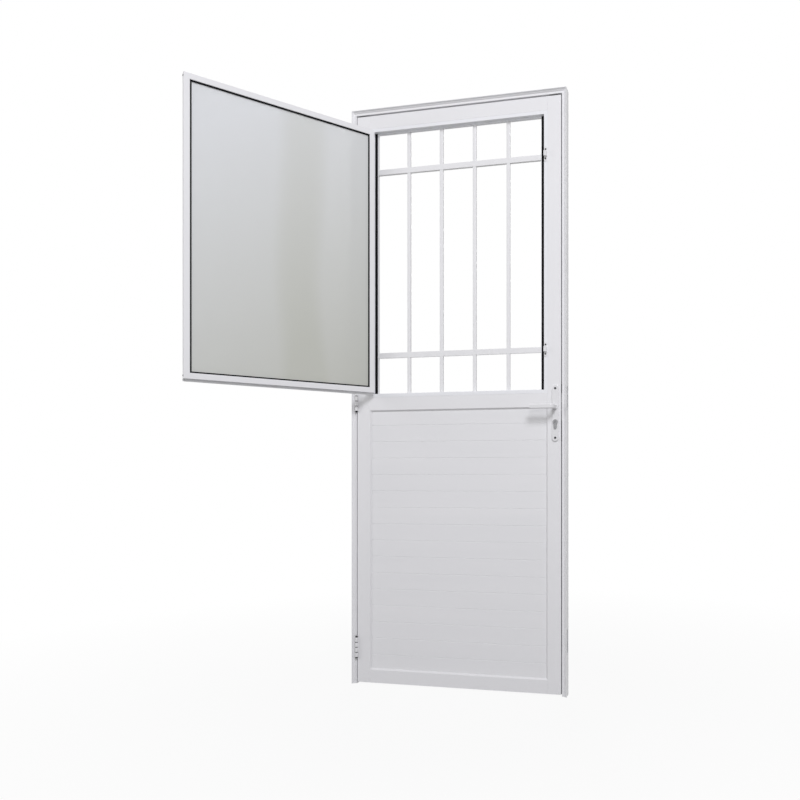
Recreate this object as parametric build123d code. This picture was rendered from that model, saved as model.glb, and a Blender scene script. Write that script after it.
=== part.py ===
from build123d import *
import os

# Aluminium entrance door in its frame: a boarded leaf with a fixed grille and a glazed hatch that stands open.
# Millimetres. +X towards the lock side, -Y towards the room, +Z up. The origin is on the floor, at the middle
# of the frame, in the plane of the leaf's room face. At rest the leaf is closed and the hatch is open.

# Frame
frame_width = 800.0
frame_height = 2100.0
frame_face = 16.5           # width of a jamb or the head, seen from the room
frame_wall = 1.6
flange_proud = 8.0          # outer flange, in front of the leaf
flange_width = 2.0
slope_proud = 6.0           # sloped band that falls from the flange to the lip beside the leaf
slope_ledge = 1.2           # flat line halfway down the slope
lip_width = 7.0
stop_reach = 10.0
stop_thick = 3.0
frame_seal_thick = 1.7
frame_seal_width = 5.0
frame_seal_gap = 0.3        # between the seal and the closed leaf
wall_screw_radius = 3.25
wall_screw_end = 300.0      # from the floor, and from the top, to the outer wall screws
wall_screw_inner_spacing = 700.0
anchor_slot_low = 186.0      # middle of the lower slot for a wall anchor, above the floor
anchor_slot_high = 1030.0
anchor_slot_length = 84.0
anchor_slot_width = 16.0

# Leaf
leaf_gap = 3.5
head_gap = 6.0              # between the head and the leaf's top
floor_gap = 6.0
leaf_thick = 28.0
member_width = 48.0
leaf_wall = 1.4
joint_ease = 0.6            # eased edges, which show the joints as fine lines
panel_height = 947.0        # boards in sight, between the bottom and the middle rail

# Boards
board_count = 8
board_thick = 12.0
board_recess = 6.0          # from the leaf's room face back to the boards
board_wall = 1.2
panel_bead = 4.5            # sloped beads round the boards, as wide as seen from the room
board_seat = 5.0            # depth of the groove that holds the boards
board_play = 0.2
flute_depth = 1.0
tongue_height = 4.0
tongue_thick = 5.0

# Hatch frame and its seals
hatch_face = 12.0
hatch_wall = 1.2
rebate_depth = 17.0
side_lip = 14.0
end_lip = 3.0
hatch_seal_width = 10.0
hatch_seal_thick = 2.0

# Grille
bar_count = 4
bar_width = 11.0
bar_depth = 8.0
bar_wall = 1.2
bar_corner = 2.0
grille_rail_height = 19.0
grille_rail_inset = 139.0   # from the end of the opening to the middle of the rail
punch_play = 0.2

# Sash
sash_face = 18.5
sash_box = 12.0
sash_wall = 1.2
sash_leg = 2.8
sash_leg_chamfer = 1.2
sash_play = 0.2             # between the sash and the seals
sash_end_gap = 3.0
sash_hinge_gap = 2.0
fin_drop = 8.0
fin_thick = 2.0
glass_thick = 4.0
glass_inset = 2.0
gasket_thick = 1.8
gasket_show = 4.5
gasket_hold = 4.5
bead_inset = 0.2
bead_chamfer = 3.0
hatch_open_angle = 130.0

# Door hinges
knuckle_radius = 5.5
knuckle_count = 4
knuckle_length = 16.4
knuckle_gap = 2.0
knuckle_chamfer = 0.8
knuckle_clear = 0.25        # between the knuckles and the leaf's face
knuckle_notch = 5.0         # notch in the jamb's lip behind the knuckles
knuckle_notch_end = 6.0     # past the ends of the barrel
knuckle_notch_depth = 6.0
hinge_plate_thick = 1.5
hinge_plate_depth = 26.0
hinge_pin_radius = 2.8
pin_clear = 0.05
hinge_end_height = 134.0    # lowest hinge above the floor
hinge_middle_height = 1036.0
hinge_top_drop = 150.0      # highest hinge below the frame's top

# Hatch hinges
hatch_knuckle_radius = 4.5
hatch_knuckle_length = 16.0
hatch_knuckle_gap = 0.8
hatch_knuckle_clear = 0.3
hatch_plate_thick = 1.5
hatch_plate_width = 9.0
hatch_plate_clear = 0.4
hatch_pin_radius = 2.0
hatch_fitting_inset = 140.0  # hinges, latches and keepers from the ends of the opening

# Handle and lock
handle_height = 1000.0
backset = 19.5
plate_height = 195.0
plate_width = 24.0
plate_thick = 5.0
plate_edge = 1.6
plate_drop = 21.0           # middle of the plate below the lever's axis
plate_screw_spacing = 171.0
plate_screw_radius = 2.4
plate_screw_head_radius = 3.8
plate_screw_head_height = 2.0
screw_play = 0.2
slot_width = 1.2
slot_depth = 0.8
collar_radius = 8.8
collar_clear = 0.08
collar_length = 9.0
lever_reach = 82.0
lever_stand = 40.0          # from the leaf's face to the middle of the lever
lever_height = 16.0
lever_depth = 10.0
lever_round = 3.5
lever_bend = 12.0
spindle_side = 8.0
spindle_clear = 0.05
spindle_grip = 26.0         # spindle inside each lever, from the leaf's face
spindle_hole_radius = 6.2
case_height_above = 60.0
case_height_below = 98.0
case_depth = 33.0
case_thick = 16.0
faceplate_thick = 3.0
faceplate_width = 20.0
faceplate_height = 200.0
faceplate_play = 0.1
faceplate_round = 6.0
latch_rise = 26.0
latch_height = 16.0
latch_width = 12.0
latch_throw = 10.5
latch_tail = 23.0
bolt_drop = 24.0
bolt_height = 15.0
bolt_width = 10.0
bolt_tail = 29.0
bolt_travel = 14.0
bolt_play = 0.25
cylinder_drop = 52.0
cylinder_radius = 8.5
cylinder_stem = 10.0
cylinder_height = 33.0
cylinder_proud = 3.0
cylinder_play = 0.3
plug_radius = 6.0
plug_clear = 0.05
keyway_height = 8.0
keyway_width = 1.6
keyway_depth = 12.0
strike_thick = 2.0
strike_width = 22.0
strike_margin = 18.0
strike_play = 1.2

# Hatch latches and keepers
latch_base_width = 14.0
latch_base_height = 46.0
latch_base_thick = 5.0
latch_base_round = 4.0
latch_pivot_radius = 3.0
latch_hub_radius = 7.0
latch_hub_thick = 6.0
latch_arm_length = 40.0
latch_arm_width = 9.0
latch_arm_thick = 4.0
tongue_reach = 20.0
tongue_width = 7.0
tongue_blade = 3.0
tongue_clear = 1.0
keeper_height = 50.0
keeper_width = 10.5
keeper_plate = 2.0
keeper_hook_height = 18.0
keeper_edge_gap = 1.0
keeper_screw_spacing = 32.5
keeper_screw_radius = 1.6
keeper_screw_head_radius = 2.8
keeper_screw_head_height = 1.4
keeper_screw_length = 8.0

overrun = 5.0               # cuts run past the material by this much

# Places worked out from the sizes
half_width = frame_width / 2
jamb_inner = half_width - frame_face
leaf_side = jamb_inner - leaf_gap
leaf_top = frame_height - frame_face - head_gap
stop_front = leaf_thick + frame_seal_gap + frame_seal_thick
frame_back = stop_front + stop_thick
stile_inner = leaf_side - member_width
bottom_rail_top = floor_gap + member_width
mid_rail_bottom = bottom_rail_top + panel_height
mid_rail_top = mid_rail_bottom + member_width
top_rail_bottom = leaf_top - member_width
board_front = board_recess
rebate_side = stile_inner - hatch_face
rebate_low = mid_rail_top + hatch_face
rebate_high = top_rail_bottom - hatch_face
clear_side = rebate_side - side_lip
clear_low = rebate_low + end_lip
clear_high = rebate_high - end_lip
sash_thick = rebate_depth - hatch_seal_thick - sash_play
sash_left = -rebate_side + sash_hinge_gap
sash_right = rebate_side - sash_end_gap
sash_low = rebate_low + sash_end_gap
sash_high = rebate_high - sash_end_gap
fitting_heights = (rebate_low + hatch_fitting_inset, rebate_high - hatch_fitting_inset)
hinge_x = -(leaf_side + leaf_gap / 2)
hinge_y = -(knuckle_radius + knuckle_clear)
hinge_heights = (hinge_end_height, hinge_middle_height, frame_height - hinge_top_drop)
barrel_pitch = knuckle_length + knuckle_gap
barrel_height = knuckle_count * knuckle_length + (knuckle_count - 1) * knuckle_gap
hatch_axis_x = -rebate_side + sash_hinge_gap / 2
hatch_axis_y = -(hatch_knuckle_radius + hatch_knuckle_clear)
lock_x = leaf_side - backset
cylinder_z = handle_height - cylinder_drop
latch_z = handle_height + latch_rise
bolt_z = handle_height - bolt_drop
lock_y = leaf_thick / 2

nodes = {}


# Shared shapes

def block(x0, x1, y0, y1, z0, z1):
    """A box between two corners."""
    return Pos(x0, y0, z0) * Box(x1 - x0, y1 - y0, z1 - z0, align=(Align.MIN, Align.MIN, Align.MIN))


def rod(x, y, z, direction, radius, length):
    """A cylinder from a point along a direction."""
    start = Plane(origin=(x, y, z), z_dir=direction)
    return start * Cylinder(radius, length, align=(Align.CENTER, Align.CENTER, Align.MIN))


def run_up(face, z0, z1):
    """An upright extrusion of a face drawn in X and Y."""
    return extrude(Plane.XY.offset(z0) * face, amount=z1 - z0, dir=(0, 0, 1))


def run_across(face, x0, x1):
    """A level extrusion of a face drawn in Y and Z."""
    return extrude(Plane.YZ.offset(x0) * face, amount=x1 - x0, dir=(1, 0, 0))


def hollow(place, outline, *cavities):
    """A face from an outline with rectangular cavities, each point set by place(inward, depth)."""
    face = Polygon(*[place(u, y) for u, y in outline], align=None)
    for u0, u1, y0, y1 in cavities:
        corners = ((u0, y0), (u1, y0), (u1, y1), (u0, y1))
        face -= Polygon(*[place(u, y) for u, y in corners], align=None)
    return face


def wedge(x, z, across, up, reach):
    """All that lies on one side of a slanted plane through a corner, within reach of it."""
    corners = (
        (x - up * reach, z + across * reach),
        (x + up * reach, z - across * reach),
        (x + across * reach, z + up * reach),
    )
    return extrude(Plane.XZ * Polygon(*corners, align=None), amount=reach, both=True)


def ring_side(side, profile, x0, x1, z0, z1, feet=False):
    """One mitred side of a ring. The profile is an outline and cavities in inward and depth sizes."""
    mitres = {
        "left": ((x0, z0, 1, -1), (x0, z1, 1, 1)),
        "right": ((x1, z0, -1, -1), (x1, z1, -1, 1)),
        "top": ((x0, z1, -1, -1), (x1, z1, 1, -1)),
        "bottom": ((x0, z0, -1, 1), (x1, z0, 1, 1)),
    }
    places = {
        "left": lambda u, y: (x0 + u, y),
        "right": lambda u, y: (x1 - u, y),
        "top": lambda u, y: (y, z1 - u),
        "bottom": lambda u, y: (y, z0 + u),
    }
    face = hollow(places[side], *profile)
    run = run_up(face, z0, z1) if side in ("left", "right") else run_across(face, x0, x1)
    for x, z, across, up in mitres[side]:
        if not (feet and z == z0):
            run -= wedge(x, z, across, up, z1 - z0)
    return run


def group(*solids):
    """Several separate solids that share one node."""
    return Compound(children=[s for solid in solids for s in solid.solids()])


def opened(shape):
    """A piece of the hatch, turned from closed to its rest place."""
    hatch_axis = Axis((hatch_axis_x, hatch_axis_y, 0), (0, 0, 1))
    return shape.rotate(hatch_axis, -hatch_open_angle)


# Frame: one hollow profile with an outer flange, a stepped slope, a lip and a stop, mitred at the head
def frame_profile():
    slope_end = frame_face - lip_width
    slope_middle = (flange_width + slope_end) / 2
    outline = (
        (0, -flange_proud),
        (flange_width, -flange_proud),
        (flange_width, -slope_proud),
        (slope_middle - slope_ledge / 2, -slope_proud / 2),
        (slope_middle + slope_ledge / 2, -slope_proud / 2),
        (slope_end, 0),
        (frame_face, 0),
        (frame_face, stop_front),
        (frame_face + stop_reach, stop_front),
        (frame_face + stop_reach, frame_back),
        (0, frame_back),
    )
    cavity = (frame_wall, frame_face - frame_wall, frame_wall, frame_back - frame_wall)
    slope_cavity = (frame_wall, slope_middle, frame_wall - slope_proud / 2, 2 * frame_wall)
    return outline, cavity, slope_cavity


def frame_side(side):
    return ring_side(side, frame_profile(), -half_width, half_width, 0, frame_height, feet=True)


wall_screw_low = wall_screw_end
wall_screw_high = frame_height - wall_screw_end
wall_screw_middle = frame_height / 2
wall_screw_heights = (
    wall_screw_low,
    wall_screw_middle - wall_screw_inner_spacing / 2,
    wall_screw_middle + wall_screw_inner_spacing / 2,
    wall_screw_high,
)


def drilled_jamb(jamb, outer_x, inward):
    """The holes for the screws into the wall, through both walls of the jamb."""
    start = outer_x - inward * overrun
    for height in wall_screw_heights:
        jamb -= rod(start, lock_y, height, (inward, 0, 0), wall_screw_radius, frame_face + 2 * overrun)
    return jamb


def slotted_jamb(jamb, outer_x, inward):
    """The slots for wall anchors, through the outer wall of the jamb."""
    ends = sorted((outer_x - inward * overrun, outer_x + inward * (frame_wall + overrun)))
    for height in (anchor_slot_low, anchor_slot_high):
        slot = block(*ends, lock_y - anchor_slot_width / 2, lock_y + anchor_slot_width / 2,
                     height - anchor_slot_length / 2, height + anchor_slot_length / 2)
        jamb -= fillet(slot.edges().filter_by(Axis.X), anchor_slot_width / 4)
    return jamb


def notched_jamb(jamb):
    """The notches in the hinge jamb's lip, behind the knuckles of each hinge."""
    for height in hinge_heights:
        reach = barrel_height / 2 + knuckle_notch_end
        jamb -= block(-jamb_inner - knuckle_notch, -jamb_inner + overrun, -overrun, knuckle_notch_depth,
                      height - reach, height + reach)
    return jamb


hinge_jamb = drilled_jamb(frame_side("left"), -half_width, 1)
nodes["frame_hinge_jamb"] = notched_jamb(slotted_jamb(hinge_jamb, -half_width, 1))
nodes["frame_head"] = frame_side("top")

strike_low = bolt_z - bolt_height / 2 - strike_margin
strike_high = latch_z + latch_height / 2 + strike_margin
strike_face = jamb_inner - strike_thick


def bolt_opening(x0, x1, play):
    """The openings that the latch bolt and the dead bolt pass through."""
    latch = block(x0, x1, lock_y - latch_width / 2 - play, lock_y + latch_width / 2 + play,
                  latch_z - latch_height / 2 - play, latch_z + latch_height / 2 + play)
    bolt = block(x0, x1, lock_y - bolt_width / 2 - play, lock_y + bolt_width / 2 + play,
                 bolt_z - bolt_height / 2 - play, bolt_z + bolt_height / 2 + play)
    return latch + bolt


lock_jamb = slotted_jamb(drilled_jamb(frame_side("right"), half_width, -1), half_width, -1)
nodes["frame_lock_jamb"] = lock_jamb - bolt_opening(jamb_inner - overrun, jamb_inner + overrun, strike_play)

seal_start = frame_face + stop_reach - frame_seal_width - frame_seal_gap
seal_outline = (
    (seal_start, leaf_thick + frame_seal_gap),
    (seal_start + frame_seal_width, leaf_thick + frame_seal_gap),
    (seal_start + frame_seal_width, stop_front),
    (seal_start, stop_front),
)
seal_sides = [
    ring_side(side, (seal_outline,), -half_width, half_width, 0, frame_height, feet=True)
    for side in ("left", "top", "right")
]
nodes["frame_seal"] = seal_sides[0] + seal_sides[1] + seal_sides[2]

strike = block(strike_face, jamb_inner, lock_y - strike_width / 2, lock_y + strike_width / 2, strike_low, strike_high)
strike = fillet(strike.edges().filter_by(Axis.X), latch_width / 2)
nodes["strike_plate"] = strike - bolt_opening(strike_face - overrun, jamb_inner + overrun, strike_play)


# Leaf: two stiles that run full height, three rails between them, all hollow and grooved for the boards
groove_y0 = board_front - board_play
groove_y1 = board_front + board_thick + board_play


def grooved_outline(width):
    """A box section with the groove for the boards in its inner edge."""
    return (
        (0, 0),
        (width - joint_ease, 0),
        (width, joint_ease),
        (width, groove_y0),
        (width - board_seat, groove_y0),
        (width - board_seat, groove_y1),
        (width, groove_y1),
        (width, leaf_thick),
        (0, leaf_thick),
    )


box_cavity = (leaf_wall, member_width - board_seat - leaf_wall, leaf_wall, leaf_thick - leaf_wall)
plain_cavity = (leaf_wall, member_width - leaf_wall, leaf_wall, leaf_thick - leaf_wall)
plain_outline = (
    (0, 0),
    (member_width - joint_ease, 0),
    (member_width, joint_ease),
    (member_width, leaf_thick),
    (0, leaf_thick),
)


def euro_face(play):
    """The outline of a profile cylinder: a round head over a narrow stem."""
    head = Circle(cylinder_radius + play)
    stem_top = cylinder_height - cylinder_radius - cylinder_stem / 2
    stem = Pos(0, -stem_top / 2) * Rectangle(cylinder_stem + 2 * play, stem_top)
    toe = Pos(0, -stem_top) * Circle(cylinder_stem / 2 + play)
    return head + stem + toe


def euro_run(play, y0, y1):
    """A cylinder outline run through the leaf, from one depth to another."""
    facing = Plane(origin=(lock_x, y1, cylinder_z), x_dir=(1, 0, 0), z_dir=(0, -1, 0))
    return extrude(facing * euro_face(play), amount=y1 - y0)


plate_z = handle_height - plate_drop
plate_screw_heights = (plate_z - plate_screw_spacing / 2, plate_z + plate_screw_spacing / 2)


def through_holes(y0, y1, collar, screw):
    """Spindle collar and screw holes through the leaf at the handle."""
    holes = rod(lock_x, y0, handle_height, (0, 1, 0), collar, y1 - y0)
    for height in plate_screw_heights:
        holes += rod(lock_x, y0, height, (0, 1, 0), screw, y1 - y0)
    return holes


faceplate_z = handle_height + (case_height_above - case_height_below) / 2
faceplate_low = faceplate_z - faceplate_height / 2
faceplate_high = faceplate_z + faceplate_height / 2


def faceplate_body(play):
    width = faceplate_width / 2 + play
    plate = block(leaf_side - faceplate_thick, leaf_side, lock_y - width, lock_y + width,
                  faceplate_low - play, faceplate_high + play)
    return fillet(plate.edges().filter_by(Axis.X), faceplate_round + play)


stile_profile = (grooved_outline(member_width), box_cavity)
hinge_stile = run_up(hollow(lambda u, y: (-leaf_side + u, y), *stile_profile), floor_gap, leaf_top)
lock_stile = run_up(hollow(lambda u, y: (leaf_side - u, y), *stile_profile), floor_gap, leaf_top)
lock_stile -= faceplate_body(faceplate_play)
lock_stile -= euro_run(cylinder_play, -overrun, leaf_thick + overrun)
lock_stile -= through_holes(-overrun, leaf_thick + overrun, collar_radius + collar_clear,
                            plate_screw_radius + screw_play)
nodes["leaf_hinge_stile"] = hinge_stile
nodes["leaf_lock_stile"] = lock_stile

top_face = hollow(lambda u, y: (y, leaf_top - u), plain_outline, plain_cavity)
mid_face = hollow(lambda u, y: (y, mid_rail_top - u), grooved_outline(member_width), box_cavity)
bottom_face = hollow(lambda u, y: (y, floor_gap + u), grooved_outline(member_width), box_cavity)
nodes["leaf_top_rail"] = run_across(top_face, -stile_inner, stile_inner)
nodes["leaf_mid_rail"] = run_across(mid_face, -stile_inner, stile_inner)
nodes["leaf_bottom_rail"] = run_across(bottom_face, -stile_inner, stile_inner)


# Boards: hollow, fluted on both faces, each tongue in the groove of the board above
stack_height = panel_height + 2 * (board_seat - board_play)
board_pitch = stack_height / board_count
tongue_y0 = (board_thick - tongue_thick) / 2
tongue_y1 = tongue_y0 + tongue_thick


def board_face(base):
    """The section of a board whose lower edge is at the height base."""
    middle = board_pitch / 2
    top = board_pitch
    back = board_thick
    outline = (
        (0, flute_depth), (0, middle - flute_depth), (flute_depth, middle), (0, middle + flute_depth),
        (0, top - flute_depth), (flute_depth, top),
        (tongue_y0, top), (tongue_y0, top + tongue_height), (tongue_y1, top + tongue_height), (tongue_y1, top),
        (back - flute_depth, top), (back, top - flute_depth),
        (back, middle + flute_depth), (back - flute_depth, middle), (back, middle - flute_depth),
        (back, flute_depth), (back - flute_depth, 0),
        (tongue_y1 + board_play, 0), (tongue_y1 + board_play, tongue_height + board_play),
        (tongue_y0 - board_play, tongue_height + board_play), (tongue_y0 - board_play, 0),
        (flute_depth, 0),
    )
    side = flute_depth + board_wall
    low = (board_wall, back - board_wall, tongue_height + board_play + board_wall, middle - side)
    high = (board_wall, back - board_wall, middle + side, top - side)
    return hollow(lambda y, z: (board_front + y, base + z), outline, low, high)


board_reach = stile_inner + board_seat - board_play
for number in range(board_count):
    base = bottom_rail_top - board_seat + board_play + number * board_pitch
    board = run_across(board_face(base), -board_reach, board_reach)
    if number == board_count - 1:
        board -= block(-board_reach - overrun, board_reach + overrun, board_front, board_front + board_thick,
                       base + board_pitch, base + board_pitch + tongue_height + overrun)
    nodes[f"panel_board_{number + 1}"] = board

# Sloped beads that close the corner between the boards and the leaf's members, mitred
panel_bead_outline = (
    (0, joint_ease),
    (panel_bead, board_front - joint_ease),
    (panel_bead, board_front),
    (0, board_front),
)
nodes["panel_beads"] = group(*[
    ring_side(side, (panel_bead_outline,), -stile_inner, stile_inner, bottom_rail_top, mid_rail_bottom)
    for side in ("left", "right", "top", "bottom")
])


# Hatch frame: rebated sections round the upper opening, the uprights with a wide lip for the seals
def hatch_upright(sign):
    """An upright that runs full height, its lip cut away at both ends for the level pieces."""
    outline = (
        (0, joint_ease),
        (joint_ease, 0),
        (hatch_face, 0),
        (hatch_face, rebate_depth),
        (hatch_face + side_lip, rebate_depth),
        (hatch_face + side_lip, leaf_thick),
        (0, leaf_thick),
    )
    box = (hatch_wall, hatch_face - hatch_wall, hatch_wall, leaf_thick - hatch_wall)
    lip = (hatch_face, hatch_face + side_lip - hatch_wall, rebate_depth + hatch_wall, leaf_thick - hatch_wall)
    face = hollow(lambda u, y: (sign * (stile_inner - u), y), outline, box, lip)
    upright = run_up(face, mid_rail_top, top_rail_bottom)
    near, far = sorted((sign * (clear_side - overrun), sign * rebate_side))
    lip_back = leaf_thick + overrun
    upright -= block(near, far, rebate_depth, lip_back, mid_rail_top - overrun, rebate_low)
    return upright - block(near, far, rebate_depth, lip_back, rebate_high, top_rail_bottom + overrun)


def hatch_level(edge, inward):
    """The top or bottom of the hatch frame, between the uprights, with a short lip."""
    box_face = hollow(
        lambda u, y: (y, edge + inward * u),
        ((0, joint_ease), (joint_ease, 0), (hatch_face, 0), (hatch_face, leaf_thick), (0, leaf_thick)),
        (hatch_wall, hatch_face - hatch_wall, hatch_wall, leaf_thick - hatch_wall),
    )
    lip_face = hollow(
        lambda u, y: (y, edge + inward * u),
        ((hatch_face, rebate_depth), (hatch_face + end_lip, rebate_depth),
         (hatch_face + end_lip, leaf_thick), (hatch_face, leaf_thick)),
    )
    return run_across(box_face, -rebate_side, rebate_side) + run_across(lip_face, -clear_side, clear_side)


nodes["hatch_frame_hinge_side"] = hatch_upright(-1)
nodes["hatch_frame_lock_side"] = hatch_upright(1)
nodes["hatch_frame_top"] = hatch_level(top_rail_bottom, -1)
nodes["hatch_frame_bottom"] = hatch_level(mid_rail_top, 1)

seal_edge = (side_lip - hatch_seal_width) / 2


def hatch_seal(sign):
    """A strip with a rounded crown on the lip of an upright."""
    x0 = sign * (clear_side + seal_edge)
    x1 = sign * (rebate_side - seal_edge)
    low, high = min(x0, x1), max(x0, x1)
    strip = block(low, high, rebate_depth - hatch_seal_thick, rebate_depth, rebate_low, rebate_high)
    crown = strip.edges().filter_by(Axis.Z).group_by(Axis.Y)[0]
    return chamfer(crown, hatch_seal_thick / 2)


nodes["hatch_seals"] = group(hatch_seal(-1), hatch_seal(1))


# Grille: upright tubes through holes punched in two level tubes
bar_gap = (2 * clear_side - bar_count * bar_width) / (bar_count + 1)
bar_pitch = bar_gap + bar_width
bar_places = [-clear_side + bar_gap + bar_width / 2 + number * bar_pitch for number in range(bar_count)]
grille_y = (rebate_depth + leaf_thick) / 2
grille_rail_depth = leaf_thick - rebate_depth


def bar_face(play):
    return RectangleRounded(bar_width + 2 * play, bar_depth + 2 * play, bar_corner + play)


for number, place in enumerate(bar_places):
    bore = RectangleRounded(bar_width - 2 * bar_wall, bar_depth - 2 * bar_wall, bar_corner - bar_wall)
    tube = Pos(place, grille_y) * (bar_face(0) - bore)
    nodes[f"grille_bar_{number + 1}"] = run_up(tube, clear_low, clear_high)


def grille_rail(height):
    rail_box = ((0, 0), (grille_rail_height, 0), (grille_rail_height, grille_rail_depth), (0, grille_rail_depth))
    tube_bore = (bar_wall, grille_rail_height - bar_wall, bar_wall, grille_rail_depth - bar_wall)
    base = height - grille_rail_height / 2
    face = hollow(lambda u, y: (rebate_depth + y, base + u), rail_box, tube_bore)
    rail = run_across(face, -clear_side, clear_side)
    for place in bar_places:
        punch = Pos(place, grille_y) * bar_face(punch_play)
        rail -= run_up(punch, base - overrun, base + grille_rail_height + overrun)
    return rail


nodes["grille_rail_lower"] = grille_rail(clear_low + grille_rail_inset)
nodes["grille_rail_upper"] = grille_rail(clear_high - grille_rail_inset)


# Door hinges: barrels in front of the gap, with plates in it
plate_start = knuckle_clear


def knuckle(x, y, z, radius, length, bore, edge):
    barrel = rod(x, y, z, (0, 0, 1), radius, length)
    barrel = chamfer(barrel.edges().filter_by(GeomType.CIRCLE), edge)
    return barrel - rod(x, y, z - overrun, (0, 0, 1), bore, length + 2 * overrun)


def door_hinge_half(height, first, side):
    """One half of a hinge: every second knuckle from the first, and its plate on the given side of the gap."""
    base = height - barrel_height / 2
    near = side * (leaf_gap / 2 - hinge_plate_thick)
    far = side * leaf_gap / 2
    x0, x1 = hinge_x + min(near, far), hinge_x + max(near, far)
    half = block(x0, x1, plate_start, hinge_plate_depth, base, base + barrel_height)
    bore = hinge_pin_radius + pin_clear
    for number in range(first, knuckle_count, 2):
        low = base + number * barrel_pitch
        barrel = knuckle(hinge_x, hinge_y, low, knuckle_radius, knuckle_length, bore, knuckle_chamfer)
        web = block(x0, x1, hinge_y, plate_start, low + knuckle_chamfer, low + knuckle_length - knuckle_chamfer)
        web -= rod(hinge_x, hinge_y, low, (0, 0, 1), bore, knuckle_length)
        half += barrel + web
    return half


def hinge_pin(x, y, z, radius, length):
    pin = rod(x, y, z, (0, 0, 1), radius, length)
    return chamfer(pin.edges().filter_by(GeomType.CIRCLE), radius / 4)


nodes["door_hinge_frame_halves"] = group(*[door_hinge_half(height, 0, -1) for height in hinge_heights])
nodes["door_hinge_leaf_halves"] = group(*[door_hinge_half(height, 1, 1) for height in hinge_heights])
nodes["door_hinge_pins"] = group(*[
    hinge_pin(hinge_x, hinge_y, height - barrel_height / 2, hinge_pin_radius, barrel_height)
    for height in hinge_heights
])


# Hatch hinges: small surface hinges, three knuckles each
hatch_barrel_pitch = hatch_knuckle_length + hatch_knuckle_gap
hatch_barrel_height = 3 * hatch_knuckle_length + 2 * hatch_knuckle_gap
plate_near = hatch_knuckle_radius - hatch_plate_thick + hatch_plate_clear


def hatch_hinge_half(height, numbers, side):
    base = height - hatch_barrel_height / 2
    ends = (hatch_axis_x + side * plate_near, hatch_axis_x + side * (plate_near + hatch_plate_width))
    half = block(min(ends), max(ends), -hatch_plate_thick, 0, base, base + hatch_barrel_height)
    bore = hatch_pin_radius + pin_clear
    for number in numbers:
        low = base + number * hatch_barrel_pitch
        barrel = knuckle(hatch_axis_x, hatch_axis_y, low, hatch_knuckle_radius, hatch_knuckle_length, bore,
                         hatch_knuckle_gap / 2)
        web_ends = (hatch_axis_x, hatch_axis_x + side * plate_near)
        web = block(min(web_ends), max(web_ends), -hatch_plate_thick - hatch_knuckle_clear,
                    -hatch_knuckle_clear, low, low + hatch_knuckle_length)
        half += barrel + web
    return half


nodes["hatch_hinge_leaf_halves"] = group(*[hatch_hinge_half(height, (0, 2), -1) for height in fitting_heights])
nodes["hatch_hinge_sash_halves"] = opened(group(*[hatch_hinge_half(height, (1,), 1) for height in fitting_heights]))
nodes["hatch_hinge_pins"] = group(*[
    hinge_pin(hatch_axis_x, hatch_axis_y, height - hatch_barrel_height / 2, hatch_pin_radius, hatch_barrel_height)
    for height in fitting_heights
])


# Sash: mitred hollow sections with a leg outside the glass, and a fin under the bottom rail
def sash_profile(side):
    fin = ((sash_box, -fin_thick), (-fin_drop, -fin_thick), (-fin_drop, 0))
    outline = (
        (0, 0),
        (0, sash_thick),
        (sash_face - sash_leg_chamfer, sash_thick),
        (sash_face, sash_thick - sash_leg_chamfer),
        (sash_face, sash_thick - sash_leg),
        (sash_box, sash_thick - sash_leg),
    )
    cavity = (sash_wall, sash_box - sash_wall, sash_wall, sash_thick - sash_wall)
    return outline + (fin if side == "bottom" else ((sash_box, 0),)), cavity


for name, side in (("hinge_stile", "left"), ("lock_stile", "right"), ("top_rail", "top"), ("bottom_rail", "bottom")):
    piece = ring_side(side, sash_profile(side), sash_left, sash_right, sash_low, sash_high)
    nodes[f"sash_{name}"] = opened(piece)

gasket_back = sash_thick - sash_leg
glass_back = gasket_back - gasket_thick
glass_front = glass_back - glass_thick
glass_edge = sash_box + glass_inset
glass = block(sash_left + glass_edge, sash_right - glass_edge, glass_front, glass_back,
              sash_low + glass_edge, sash_high - glass_edge)
nodes["sash_glass"] = opened(glass)

gasket_outer = sash_face - gasket_hold
gasket_inner = sash_face + gasket_show


def gasket_layer(edge, back):
    return block(sash_left + edge, sash_right - edge, glass_back, back, sash_low + edge, sash_high - edge)


gasket_ridge = sash_thick - sash_leg_chamfer
gasket = gasket_layer(gasket_outer, gasket_back) + gasket_layer(sash_face, gasket_ridge)
nodes["sash_gasket"] = opened(gasket - block(
    sash_left + gasket_inner, sash_right - gasket_inner, glass_back - overrun, gasket_ridge + overrun,
    sash_low + gasket_inner, sash_high - gasket_inner))

bead_outline = (
    (sash_box, bead_inset),
    (sash_face - bead_chamfer, bead_inset),
    (sash_face, bead_inset + bead_chamfer),
    (sash_face, glass_front),
    (sash_box, glass_front),
)
bead_ring = (sash_left, sash_right, sash_low, sash_high)
nodes["glazing_beads"] = opened(group(*[
    ring_side(side, (bead_outline,), *bead_ring) for side in ("left", "right", "top", "bottom")
]))


# Hatch latches on the room side of the sash, and keepers on the hatch frame
latch_x = sash_right - sash_face / 2
hub_back = -latch_base_thick - tongue_clear / 2
hub_front = hub_back - latch_hub_thick


def latch_base(height):
    plate = block(latch_x - latch_base_width / 2, latch_x + latch_base_width / 2, -latch_base_thick, 0,
                  height - latch_base_height / 2, height + latch_base_height / 2)
    plate = fillet(plate.edges().filter_by(Axis.Y), latch_base_round)
    return plate + rod(latch_x, 0, height, (0, -1, 0), latch_pivot_radius, -hub_front)


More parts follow.
